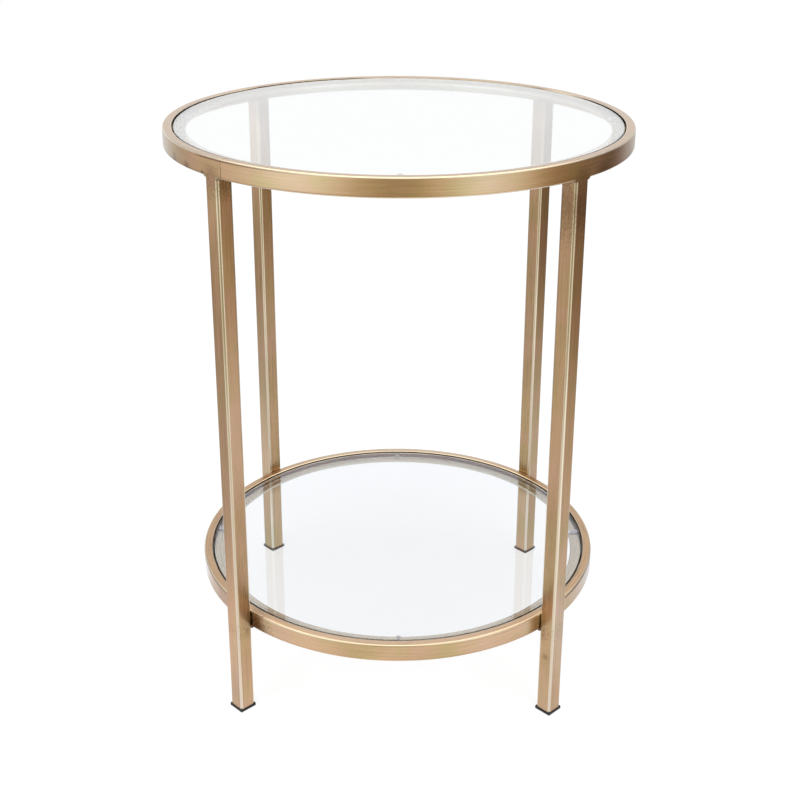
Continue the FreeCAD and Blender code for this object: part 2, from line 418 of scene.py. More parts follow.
    def _leg_frame(self, tree: NodeTree) -> tuple[Node, Node, Node]:
        """Coordinates that follow a leg. The legs stand on the diagonals, so |x| and |y| serve all four.

        Args:
            tree: the finish's node tree.

        Returns:
            The streaks' place, and the distances outwards and sideways from the section's middle.
        """
        x, y, _ = tree.axes
        stretch = (1 / self.streak_width, 1 / self.streak_width, 1 / self.streak_length)
        along = tree.add("VectorMath", tree.place, stretch, operation="MULTIPLY")
        east = tree.add("Math", x, operation="ABSOLUTE")
        north = tree.add("Math", y, operation="ABSOLUTE")
        total = tree.add("Math", east, north, operation="ADD")
        middle = -self.section.middle_out
        out = tree.add("Math", total, math.sqrt(0.5), middle, operation="MULTIPLY_ADD")
        difference = tree.add("Math", east, north, operation="SUBTRACT")
        side = tree.add("Math", difference, math.sqrt(0.5), operation="MULTIPLY")
        return along, out, side

    def _unshaded_gap_mask(self, tree: NodeTree, out: Node) -> Node:
        """Mask that is 0 on a ring's inner wall beside the glass, where shade is painted, and 1 elsewhere.

        Args:
            tree: the finish's node tree.
            out: distance outwards from the section's middle.

        Returns:
            The mask.
        """
        low, high = self.glass_gap.bottom, self.glass_gap.top
        middle, reach = (low + high) / 2, (high - low) / 2
        beside = tree.add("Math", tree.axes[2], middle, reach, operation="COMPARE")
        wall = self.wall_depth - self.section.width / 2
        wall = tree.add("Math", out, wall, operation="LESS_THAN")
        in_gap = tree.add("Math", beside, wall, operation="MULTIPLY")
        gap_shade = tree.by_azimuth(self.glass_gap.gap_shade)
        gap_shaded = tree.add("Math", in_gap, gap_shade, operation="MULTIPLY")
        return tree.add("Math", 1.0, gap_shaded, operation="SUBTRACT")

    def _rubbed_and_unshaded_mask(self, tree: NodeTree, out: Node) -> Node:
        """Mask that is 0 on the inner corner at a ring's rear, which hands seldom reach and where shade is
        painted, and 1 elsewhere.

        Args:
            tree: the finish's node tree.
            out: distance outwards from the section's middle.

        Returns:
            The mask.
        """
        flat = self.section.width / 2 - self.section.corner
        outside = tree.add("Math", out, -flat, operation="GREATER_THAN")
        return tree.add("Math", tree.by_azimuth(self.rubbed_and_unshaded), outside, operation="MAXIMUM")

    def _ring_tints(self, tree: NodeTree, tints: Node, clouds: Node, side: Node) -> Node:
        """A ring's tints: a painted sheen on its top face, and browner along its lower edge.

        Args:
            tree: the finish's node tree.
            tints: the gold's tints.
            clouds: soft noise that breaks up the lower edge.
            side: distance upwards from the section's middle.

        Returns:
            The tints.
        """
        half = self.section.height / 2
        low = tree.add("MapRange", side, -half, self.edge_reach - half, 0.8, 0.0)
        low = tree.add("Math", low, clouds, operation="MULTIPLY")
        browner = tree.add("Mix", low, tints, self.lower_edge, data_type="RGBA")
        # Painted sheen: the top face gets its own paler gold by azimuth.
        high = tree.add("Math", side, half - self.face_depth, operation="GREATER_THAN")
        return tree.add("Mix", high, browner, tree.by_azimuth(self.painted_top_sheen), data_type="RGBA")

    def _with_dark_reflection_line(self, tree: NodeTree, out: Node, side: Node, dark: Node) -> Node:
        """Adds a thin brown line under a ring's upper outer corner, a painted dark reflection.

        Args:
            tree: the finish's node tree.
            out: distance outwards from the section's middle.
            side: distance upwards from it.
            dark: mask of the patina so far.

        Returns:
            The mask with the line.
        """
        middle = self.section.height / 2 - self.reflection_line_drop
        line = tree.add("Math", side, middle, self.reflection_line_reach, operation="COMPARE")
        outside = tree.add("Math", out, 0.0, operation="GREATER_THAN")
        line = tree.add("Math", line, outside, operation="MULTIPLY")
        line = tree.add("Math", line, tree.by_azimuth(self.dark_reflection_line), operation="MULTIPLY")
        return tree.add("Math", dark, line, operation="MAXIMUM")

    def _corner_arc(self, tree: NodeTree, out: Node, side: Node, streaks: Node) -> Node:
        """How far round a rounded corner a place is: 0 or less on the flats and 0.7 in its middle.

        Args:
            tree: the finish's node tree.
            out: distance outwards from the section's middle.
            side: distance the other way from it.
            streaks: the brushed pattern, which breaks up the corner's borders.

        Returns:
            The share of the corner's radius.
        """
        corner = self.section.corner
        past_flat = []
        for distance, size in ((out, self.section.width), (side, self.section.height)):
            apart = tree.add("Math", distance, operation="ABSOLUTE")
            past_flat.append(tree.add("Math", apart, size / 2 - corner, operation="SUBTRACT"))
        least = tree.add("Math", *past_flat, operation="MINIMUM")
        share = tree.add("Math", least, corner, operation="DIVIDE")
        ragged = tree.add("Math", streaks, 0.5, operation="SUBTRACT")
        return tree.add("Math", ragged, 0.3, share, operation="MULTIPLY_ADD")

    def _patina_mask(self, tree: NodeTree, specks: Node) -> Node:
        """Mask of the darkened places, with ragged edges, and of the lines beside a ring's seam.

        Args:
            tree: the finish's node tree.
            specks: fine noise for the edges.

        Returns:
            The mask.
        """
        quarter = tree.add("VectorMath", tree.place, operation="ABSOLUTE")
        mask = 0.0
        for spot in self.spots:
            where = quarter if spot.at_every_leg else tree.place
            away = tree.add("VectorMath", where, spot.place, operation="DISTANCE")
            ragged = tree.add("Math", specks, spot.reach, away, operation="MULTIPLY_ADD")
            fade = (spot.reach * 0.5, spot.reach * 1.4, spot.depth, 0.0)
            depth = tree.add("MapRange", ragged, *fade, interpolation_type="SMOOTHSTEP")
            mask = tree.add("Math", mask, depth, operation="MAXIMUM")
        if self.seam_azimuth is None:
            return mask
        return tree.add("Math", mask, self._seam_lines(tree, specks), operation="MAXIMUM")

    def _seam_lines(self, tree: NodeTree, specks: Node) -> Node:
        """Mask of the dotted dark lines on both sides of a ring's seam, on its outer face.

        Args:
            tree: the finish's node tree.
            specks: fine noise that breaks them up.

        Returns:
            The mask.
        """
        along = around(self.seam_azimuth + 90, 1, 0)
        beside = tree.add("VectorMath", tree.place, along, operation="DOT_PRODUCT")
        apart = tree.add("Math", beside, operation="ABSOLUTE")
        from_line = tree.add("Math", apart, self.seam_width / 2, operation="SUBTRACT")
        off_line = tree.add("Math", from_line, operation="ABSOLUTE")
        fade = (0.0, self.seam_line, 0.8, 0.0)
        line = tree.add("MapRange", off_line, *fade, interpolation_type="SMOOTHSTEP")
        facing = around(self.seam_azimuth, 1, 0)
        ahead = tree.add("VectorMath", tree.place, facing, operation="DOT_PRODUCT")
        outside = tree.add("Math", ahead, self.section.middle_out, operation="GREATER_THAN")
        end = self.section.middle_up + self.section.height / 2 - self.seam_drop
        below_end = tree.add("Math", tree.axes[2], end, operation="LESS_THAN")
        dots = tree.add("MapRange", specks, 0.4, 0.55)
        for mask in (outside, below_end, dots):
            line = tree.add("Math", line, mask, operation="MULTIPLY")
        return line

    def _colour(self, tree: NodeTree, tints: Node, streaks: Node, arc: Node, dark: Node) -> Node:
        """The gold's colour with its streaks, worn corners and patina.

        Args:
            tree: the finish's node tree.
            tints: the gold's soft clouds of colour.
            streaks: the brushed pattern.
            arc: how far round a corner a place is.
            dark: mask of the patina and the painted dark reflection line.

        Returns:
            The colour.
        """
        light = tree.add("MapRange", streaks, 0.3, 0.7, 0.8, 1.12)
        # A darker line runs along both borders of a rubbed corner.
        border = tree.add("ValToRGB", arc, stops={0.0: 1.0, 0.1: 0.68, 0.24: 1.0})
        light = tree.add("Math", light, border, operation="MULTIPLY")
        brushed = tree.add("VectorMath", tints, light, operation="SCALE")
        pale = tree.add("ValToRGB", arc, stops={0.4: self.worn, 0.6: self.rubbed_through})
        if self.grain is Grain.UP_THE_LEG:
            # Shoes and brooms rub the lower half of a leg's corners all the way across.
            low = tree.add("MapRange", tree.axes[2], *self.scuffed, 1.0, 0.0)
            pale = tree.add("Mix", low, pale, self.worn_low, data_type="RGBA")
        on_corner = tree.add("ValToRGB", arc, stops={0.14: 0.0, 0.3: 1.0})
        rubbed = tree.add("Mix", on_corner, brushed, pale, data_type="RGBA")
        return tree.add("Mix", dark, rubbed, self.patina, data_type="RGBA")


@dataclass(frozen=True)
class SatinGoldBar:
    """Cold drawn flat bar with the same plating, left unbrushed.

    The eye gets a smoother, greyer gold than on the tubes, with long fine lines from the drawing
    die, soft mirror images of whatever stands over it, and painted shade past the glass's edge.

    Attributes:
        name: the finish's name.
        glass_edge: distance of the glass's edge from the table's axis.
        rear: browner gold of the outer part at the rear.
        body: the gold between the drawn lines.
        line_dark: the gold in them.
        gap_shade_colour: colour of the painted shade past the glass's edge.
        browner_share: where the outer part is browner, as a share by azimuth.
        brown_reach: how far the browner gold goes inwards from the glass's edge.
        gap_shade: how much painted shade there is, as a share by azimuth.
        line_pitch: distance between the drawn lines.
        roughness: the bar's roughness.
        gap_shade_roughness: roughness in the painted shade.
    """

    name: str
    glass_edge: float
    rear: str = "#C9A27C"
    body: str = "#D3C7B4"
    line_dark: str = "#C3B59D"
    gap_shade_colour: str = "#2E2116"
    browner_share: dict[float, float] = field(
        default_factory=lambda: {-180: 0.0, 20: 0.0, 55: 1.0, 125: 1.0, 160: 0.0}
    )
    brown_reach: float = mm(6)
    gap_shade: dict[float, float] = field(
        default_factory=lambda: {-180: 0.7, -168: 1.0, -12: 1.0, 2: 0.7, 14: 0.0, 166: 0.0}
    )
    # A die's lines are well under 1 mm apart; these are drawn coarser so that they show.
    line_pitch: float = mm(1.6)
    roughness: float = 0.2
    gap_shade_roughness: float = 0.9

    def material(self) -> bpy.types.Material:
        """Builds the finish.

        Returns:
            The material, ready to go on a piece.
        """
        tree = NodeTree(bpy.data.materials.new(self.name))
        radius = tree.add("VectorMath", tree.flat, operation="LENGTH")
        across = tree.add("Math", radius, self.line_pitch, operation="DIVIDE")
        pattern = {"W": across, "Scale": 1.0, "Detail": 3.0, "Roughness": 0.7}
        lines = tree.add("TexNoise", named=pattern, noise_dimensions="1D")
        drawn = tree.add("ValToRGB", lines, stops={0.35: self.line_dark, 0.6: self.body})
        browner_share = tree.add("MapRange", radius, self.glass_edge - self.brown_reach, self.glass_edge)
        browner_share = tree.add("Math", browner_share, tree.by_azimuth(self.browner_share), operation="MULTIPLY")
        drawn = tree.add("Mix", browner_share, drawn, self.rear, data_type="RGBA")
        # Painted shade: past the glass's edge the bar gets a dark colour and a high roughness.
        beyond = tree.add("Math", radius, self.glass_edge, operation="GREATER_THAN")
        gap_shaded = tree.add("Math", beyond, tree.by_azimuth(self.gap_shade), operation="MULTIPLY")
        unshaded = tree.add("Math", 1.0, gap_shaded, operation="SUBTRACT")
        finish = {
            "Base Color": tree.add("Mix", unshaded, self.gap_shade_colour, drawn, data_type="RGBA"),
            "Metallic": 1.0,
            "Roughness": tree.add("Mix", unshaded, self.gap_shade_roughness, self.roughness),
        }
        tree.add("OutputMaterial", tree.add("BsdfPrincipled", named=finish))
        return tree.owner


@dataclass(frozen=True)
class WeldedGold:
    """Weld metal under the same plating, left unbrushed.

    The eye gets darker, duller brown gold than on the tubes, with fine grit in the hollows.

    Attributes:
        name: the finish's name.
        crest: gold of the ripples' crests.
        hollow: brown of their hollows.
        grit: size of the grit.
        relief: height of the grit.
        roughness: the metal's roughness.
    """

    name: str = "plated weld bead"
    crest: str = "#9C764C"
    hollow: str = "#46301C"
    grit: float = mm(0.8)
    relief: float = mm(0.15)
    roughness: float = 0.42

    def material(self) -> bpy.types.Material:
        """Builds the finish.

        Returns:
            The material, ready to go on a piece.
        """
        tree = NodeTree(bpy.data.materials.new(self.name))
        pattern = {"Vector": tree.place, "Scale": 1 / self.grit, "Detail": 4.0}
        grit = tree.add("TexNoise", named=pattern)
        relief = {"Height": grit, "Distance": self.relief, "Strength": 0.5}
        finish = {
            "Base Color": tree.add("ValToRGB", grit, stops={0.35: self.hollow, 0.65: self.crest}),
            "Metallic": 1.0,
            "Roughness": self.roughness,
            "Normal": tree.add("Bump", named=relief),
        }
        tree.add("OutputMaterial", tree.add("BsdfPrincipled", named=finish))
        return tree.owner


@dataclass(frozen=True)
class FloatGlass:
    """Clear soda lime float glass with a ground edge.

    The eye gets mirror images that strengthen at a low angle, and a cool tinge that only grows
    where light runs a long way through the glass.

    Attributes:
        name: the finish's name.
        ior: how strongly it bends light.
        kept: the light that it lets through.
        density: how fast it takes out the rest.
        coat: how much its surface mirrors beyond that.
        coat_ior: how strongly that extra layer mirrors.
    """

    name: str
    ior: float = 1.52
    kept: str = "#86BCC4"
    density: float = 7.0
    coat: float = 0.0
    coat_ior: float = 1.5

    def material(self) -> bpy.types.Material:
        """Builds the finish.

        Returns:
            The material, ready to go on a piece.
        """
        tree = NodeTree(bpy.data.materials.new(self.name))
        finish = {
            "Base Color": "#FFFFFF",
            "Roughness": 0.0,
            "IOR": self.ior,
            "Transmission Weight": 1.0,
            "Coat Weight": self.coat,
            "Coat Roughness": 0.0,
            "Coat IOR": self.coat_ior,
        }
        tinge = tree.add("VolumeAbsorption", self.kept, self.density)
        tree.add("OutputMaterial", tree.add("BsdfPrincipled", named=finish), tinge)
        return tree.owner


@dataclass(frozen=True)
class MouldedPolypropylene:
    """Black injection moulded polypropylene.

    The eye gets a near black satin with a fine spark eroded grain that breaks up its highlight.

    Attributes:
        name: the finish's name.
        colour: the plastic's colour.
        ior: how strongly it bends light.
        grain: size of the mould's grain.
        relief: height of that grain.
        roughness: its least and greatest roughness.
    """

    name: str = "moulded black polypropylene"
    colour: str = "#131214"
    ior: float = 1.49
    # Spark eroded grain is about 0.1 mm across; it is drawn coarser so that it shows.
    grain: float = mm(0.5)
    relief: float = mm(0.05)
    roughness: tuple[float, float] = (0.4, 0.65)

    def material(self) -> bpy.types.Material:
        """Builds the finish.

        Returns:
            The material, ready to go on a piece.
        """
        tree = NodeTree(bpy.data.materials.new(self.name))
        pattern = {"Vector": tree.place, "Scale": 1 / self.grain, "Detail": 2.0}
        grain = tree.add("TexNoise", named=pattern)
        relief = {"Height": grain, "Distance": self.relief, "Strength": 0.4}
        finish = {
            "Base Color": self.colour,
            "Roughness": tree.add("MapRange", grain, 0.0, 1.0, *self.roughness),
            "Normal": tree.add("Bump", named=relief),
            "IOR": self.ior,
        }
        tree.add("OutputMaterial", tree.add("BsdfPrincipled", named=finish))
        return tree.owner


@dataclass(frozen=True)
class ClearVinyl:
    """Clear soft vinyl strip, as in glass bumpers, on the bright metal of the ledge.

    The eye gets a pale, faintly lilac strip, because the metal behind it sends the light back, with
    two darker dots of painted shade where its dimples are. The metallic share stands for that metal.

    Attributes:
        name: the finish's name.
        dimples: where its two dimples are.
        colour: the strip's colour over the metal.
        shaded: its colour in the dimples, a painted shade.
        metallic: share of the metal behind it.
        ior: how strongly it bends light.
        cloud: size of the patches where it is smoother or duller.
        dimple_reach: radius of a dimple with its rim.
        roughness: its least and greatest roughness.
    """

    name: str
    dimples: tuple[Vector, Vector]
    colour: str = "#DCD9E1"
    shaded: str = "#5E586A"
    metallic: float = 0.85
    ior: float = 1.53
    cloud: float = mm(2.5)
    dimple_reach: float = mm(1.15)
    roughness: tuple[float, float] = (0.2, 0.4)

    def material(self) -> bpy.types.Material:
        """Builds the finish.

        Returns:
            The material, ready to go on a piece.
        """
        tree = NodeTree(bpy.data.materials.new(self.name))
        away = [tree.add("VectorMath", tree.place, dimple, operation="DISTANCE") for dimple in self.dimples]
        nearest = tree.add("Math", *away, operation="MINIMUM")
        # Painted shade: the dimples get the darker colour.
        dark = tree.add("Math", nearest, self.dimple_reach, operation="LESS_THAN")
        pattern = {"Vector": tree.place, "Scale": 1 / self.cloud, "Detail": 2.0}
        clouds = tree.add("TexNoise", named=pattern)
        finish = {
            "Base Color": tree.add("Mix", dark, self.colour, self.shaded, data_type="RGBA"),
            "Metallic": self.metallic,
            "Roughness": tree.add("MapRange", clouds, 0.0, 1.0, *self.roughness),
            "IOR": self.ior,
        }
        tree.add("OutputMaterial", tree.add("BsdfPrincipled", named=finish))
        return tree.owner


def finished_object(name: str, mesh: bmesh.types.BMesh, smooth: bool = False) -> bpy.types.Object:
    """Turns a bmesh into an object at the origin.

    Args:
        name: the piece's name.
        mesh: its shape, in the table's frame. It is freed.
        smooth: whether its faces are shaded smooth.

    Returns:
        The object, linked to the scene.
    """
    bmesh.ops.recalc_face_normals(mesh, faces=mesh.faces)
    for face in mesh.faces:
        face.smooth = smooth
    data = bpy.data.meshes.new(name)
    mesh.to_mesh(data)
    mesh.free()
    piece = bpy.data.objects.new(name, data)
    bpy.context.scene.collection.objects.link(piece)
    return piece


def dress(piece: bpy.types.Object, material: bpy.types.Material) -> None:
    """Gives all of a piece one material.

    Args:
        piece: the piece.
        material: its finish.
    """
    if not piece.material_slots:
        piece.data.materials.append(material)
    for slot in piece.material_slots:
        slot.material = material


def rippled_weld(mesh: bmesh.types.BMesh, path: list[Vector], radius: float) -> None:
    """Adds a weld bead: one flattened drop of metal after another along a path.

    Args:
        mesh: the bmesh that gets the drops.
        path: the drops' centres.
        radius: the bead's radius.
    """
    for index, centre in enumerate(path):
        ahead = path[min(index + 1, len(path) - 1)] - path[max(index - 1, 0)]
        squash = Matrix.Diagonal((0.75, 1.0 + 0.06 * math.sin(index * 2.1), 1.0, 1.0))
        turn = ahead.to_track_quat("X", "Z").to_matrix().to_4x4()
        place = Matrix.Translation(centre) @ turn @ squash
        bmesh.ops.create_icosphere(mesh, subdivisions=2, radius=radius, matrix=place)


@dataclass
class Tier:
    """One ring of the table with its ledge, its glass and the pads that carry the glass.

    Attributes:
        name: the tier's name in the CAD frame, top or lower.
        seam_azimuth: where the ring tube's ends are welded together.
        spots: patina on the ring.
        gap_shade_by_azimuth: painted shade beside the glass, as a share by azimuth.
        body: the ring's greenish, middle and pinkish gold.
        painted_top_sheen: paler gold painted on the ring's top face by azimuth, a painted sheen.
        worn: gold of its rubbed corners.
        painted_rear_corner_shade: darker gold painted as shade on its inner corner at the rear, where that
            isn't rubbed.
        patina: brown of its patina, also used for its painted dark reflection line.
        dark_reflection_line: painted dark reflection line under its upper outer corner, as a share by
            azimuth.
        glass: finish of the disc.
        ring_width: width of the ring tube.
        ring_corner: radius of the ring tube's corners.
        gap_shade_depth: how far below the glass's top the painted shade in the gap starts.
        gap_shade_rise: how far over the glass's top it ends.
        stitch_count: how many stitch welds hold the ledge.
        stitch_length: length of each.
        stitch_radius: radius of their beads.
        stitch_step: distance between the ripples of a bead.
        dimple_spacing: distance between a pad's two dimples, which lie in line with the table's axis.
        pad_painted_shading: painted light and shade of the pads that differ from the rest, and of their
            dots, by place.
        pad_clearance: how far the pads' upper faces stay below the glass.
    """

    name: str
    seam_azimuth: float
    spots: tuple[PatinaSpot, ...]
    gap_shade_by_azimuth: dict[float, float]
    body: tuple[str, str, str]
    painted_top_sheen: dict[float, str]
    worn: str
    painted_rear_corner_shade: str | None
    patina: str
    dark_reflection_line: dict[float, float]
    glass: FloatGlass
    ring_width: float = mm(10)
    ring_corner: float = mm(2)
    gap_shade_depth: float = mm(0.9)
    gap_shade_rise: float = mm(0.5)
    stitch_count: int = 8
    stitch_length: float = mm(18)
    stitch_radius: float = mm(1.9)
    stitch_step: float = mm(1.8)
    dimple_spacing: float = mm(3.6)
    pad_painted_shading: dict[str, tuple[str, str]] = field(
        default_factory=lambda: {"front": ("#D6CFC8", "#A89E97"), "rear": ("#C4B6A4", "#6E6156")}
    )
    pad_clearance: float = mm(0.08)

    def build(self, nodes: dict[str, bpy.types.Object], weld: bpy.types.Material) -> None:
        """Dresses the tier's CAD pieces and models its pads and its stitch welds.

        Args:
            nodes: the CAD pieces by name.
            weld: finish of the weld metal.
        """
        low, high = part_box(f"{self.name}_ring")
        glass_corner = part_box(f"{self.name}_glass")[1]
        # Heights of the painted shade in the gap beside the glass.
        shaded_heights = (glass_corner.z - self.gap_shade_depth, glass_corner.z + self.gap_shade_rise)
        olive, body, rosy = self.body
        gold = AntiqueGold(
            f"brushed antique gold {self.name} ring",
            Grain.ROUND_THE_RING,
            TubeSection(
                middle_out=high.x - self.ring_width / 2,
                middle_up=(low.z + high.z) / 2,
                width=self.ring_width,
                height=high.z - low.z,
                corner=self.ring_corner,
            ),
            self.spots,
            self.seam_azimuth,
            GlassGap(*shaded_heights, self.gap_shade_by_azimuth),
            olive=olive,
            body=body,
            rosy=rosy,
            worn=self.worn,
            rubbed_through=self.worn,
            patina=self.patina,
            painted_top_sheen=self.painted_top_sheen,
            painted_rear_corner_shade=self.painted_rear_corner_shade,
            dark_reflection_line=self.dark_reflection_line,
        ).material()
        ledge = SatinGoldBar(f"satin gold drawn bar {self.name} ledge", glass_corner.x).material()
        dress(nodes[f"{self.name}_ring"], gold)
        dress(nodes[f"{self.name}_ring_seam"], gold)
        dress(nodes[f"{self.name}_ledge"], ledge)
        dress(nodes[f"{self.name}_glass"], self.glass.material())
        self.build_pads(nodes)
        self.build_stitches(weld)
        LOG.info("%s tier: ring %.0f mm across, glass on %d pads", self.name, high.x * 2000, len(PAD_PLACES))

    def build_pads(self, nodes: dict[str, bpy.types.Object]) -> None:
        """Models the pads a hair thinner than the gap, so that their upper faces don't lie in the glass's.

        Args:
            nodes: the CAD pieces by name.
        """
        for place in PAD_PLACES:
            node = f"{self.name}_pad_{place}"
            low, high = (Vector(corner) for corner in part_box(node))
            thinner = 1 - self.pad_clearance / (high.z - low.z)
            to_ledge = Matrix.Translation((0, 0, -low.z))
            middle = (low + high) / 2
            outwards = Vector((middle.x, middle.y, 0)).normalized() * self.dimple_spacing / 2
            middle.z = high.z
            # The front and rear pads get their own lighter or darker colours, painted light and shade.
            vinyl = ClearVinyl(
                f"clear soft vinyl {self.name} {place} pad",
                (middle - outwards, middle + outwards),
                *self.pad_painted_shading.get(place, (ClearVinyl.colour, ClearVinyl.shaded)),
            ).material()
            mesh = bmesh.new()
            mesh.from_mesh(nodes[node].data)
            bmesh.ops.remove_doubles(mesh, verts=mesh.verts, dist=mm(0.001))
            bmesh.ops.scale(mesh, vec=(1, 1, thinner), space=to_ledge, verts=mesh.verts)
            piece = finished_object(f"{node}_strip", mesh)
            dress(piece, vinyl)
            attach(piece, FRAME_BODY)
            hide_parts(node)

    def build_stitches(self, weld: bpy.types.Material) -> None:
        """Models the rippled stitch welds in the corner under the ledge.

        Args:
            weld: finish of the weld metal.
        """
        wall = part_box(f"{self.name}_ring")[1].x - self.ring_width
        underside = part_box(f"{self.name}_ledge")[0].z
        centre_out, centre_up = wall - self.stitch_radius * 0.4, underside - self.stitch_radius * 0.3
        steps = round(self.stitch_length / self.stitch_step)
        mesh = bmesh.new()
        for stitch in range(self.stitch_count):
            middle = (stitch + 0.5) * 360 / self.stitch_count
            turns = [math.degrees((step - steps / 2) * self.stitch_step / wall) for step in range(steps + 1)]
            path = [around(middle + turn, centre_out, centre_up) for turn in turns]
            rippled_weld(mesh, path, self.stitch_radius)
        piece = finished_object(f"{self.name}_ledge_stitches", mesh, smooth=True)
        dress(piece, weld)
        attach(piece, FRAME_BODY)
        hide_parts(f"{self.name}_ledge_welds")


@dataclass
class Leg:
    """One square leg with its cap, its foot and the welds that tie it to both rings.

    Attributes:
        place: which leg it is.
        bead_radius: radius of the bead under the lower ring.
        bead_length: length of that bead.
        bead_step: distance between its ripples.
        bead_inset: how far inside the ring's outer face its middle lies.
        bead_rise: how far over the ring's underside its middle lies.
    """

    place: str
    bead_radius: float = mm(2.1)
    bead_length: float = mm(17)
    bead_step: float = mm(1.7)
    bead_inset: float = mm(0.6)
    bead_rise: float = mm(0.3)

    def build(
        self,
        nodes: dict[str, bpy.types.Object],
        gold: bpy.types.Material,
        weld: bpy.types.Material,
        plastic: bpy.types.Material,
    ) -> None:
        """Dresses the leg's CAD pieces and models its lower weld.

        Args:
            nodes: the CAD pieces by name.
            gold: finish of the tube.
            weld: finish of the weld metal.
            plastic: finish of the foot.
        """
        for piece in ("leg", "leg_cap", "top_weld"):
            dress(nodes[f"{piece}_{self.place}"], gold)
        dress(nodes[f"foot_{self.place}"], plastic)
        self.build_bead(weld)
        LOG.info("%s leg: tube, cap, foot and two welds", self.place)

    def build_bead(self, weld: bpy.types.Material) -> None:
        """Models the rippled bead under the lower ring.

        Args:
            weld: finish of the weld metal.
        """
        azimuth = LEG_AZIMUTHS[self.place]
        ring_low, ring_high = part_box("lower_ring")
        middle = around(azimuth, ring_high.x - self.bead_inset, ring_low.z + self.bead_rise)
        steps = round(self.bead_length / self.bead_step)
        along = around(azimuth + 90, self.bead_step, 0)
        start = middle - along * (steps / 2)
        mesh = bmesh.new()
        rippled_weld(mesh, [start + along * step for step in range(steps + 1)], self.bead_radius)
        piece = finished_object(f"lower_bead_{self.place}", mesh, smooth=True)
        dress(piece, weld)
        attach(piece, FRAME_BODY)
        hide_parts(f"lower_weld_{self.place}")


@dataclass(frozen=True)
class SoftBox:
    """A soft box that lights the table and isn't seen in it.

    Attributes:
        name: its name.
        place: where it stands.
        size: its width and height.
        power: its power in watts.
    """

    name: str
    place: Vector
    size: tuple[float, float]
    power: float

    def build(self, target: Vector) -> None:
        """Adds the lamp.

        Args:
            target: what it faces.
        """
        lamp = bpy.data.lights.new(self.name, "AREA")
        lamp.shape = "RECTANGLE"
        lamp.size, lamp.size_y = self.size
        lamp.energy = self.power
        box = bpy.data.objects.new(self.name, lamp)
        bpy.context.scene.collection.objects.link(box)
        turn = (target - self.place).to_track_quat("-Z", "Y").to_matrix().to_4x4()
        box.matrix_world = Matrix.Translation(self.place) @ turn
        box.visible_camera = False
        box.visible_glossy = False
        box.visible_transmission = False


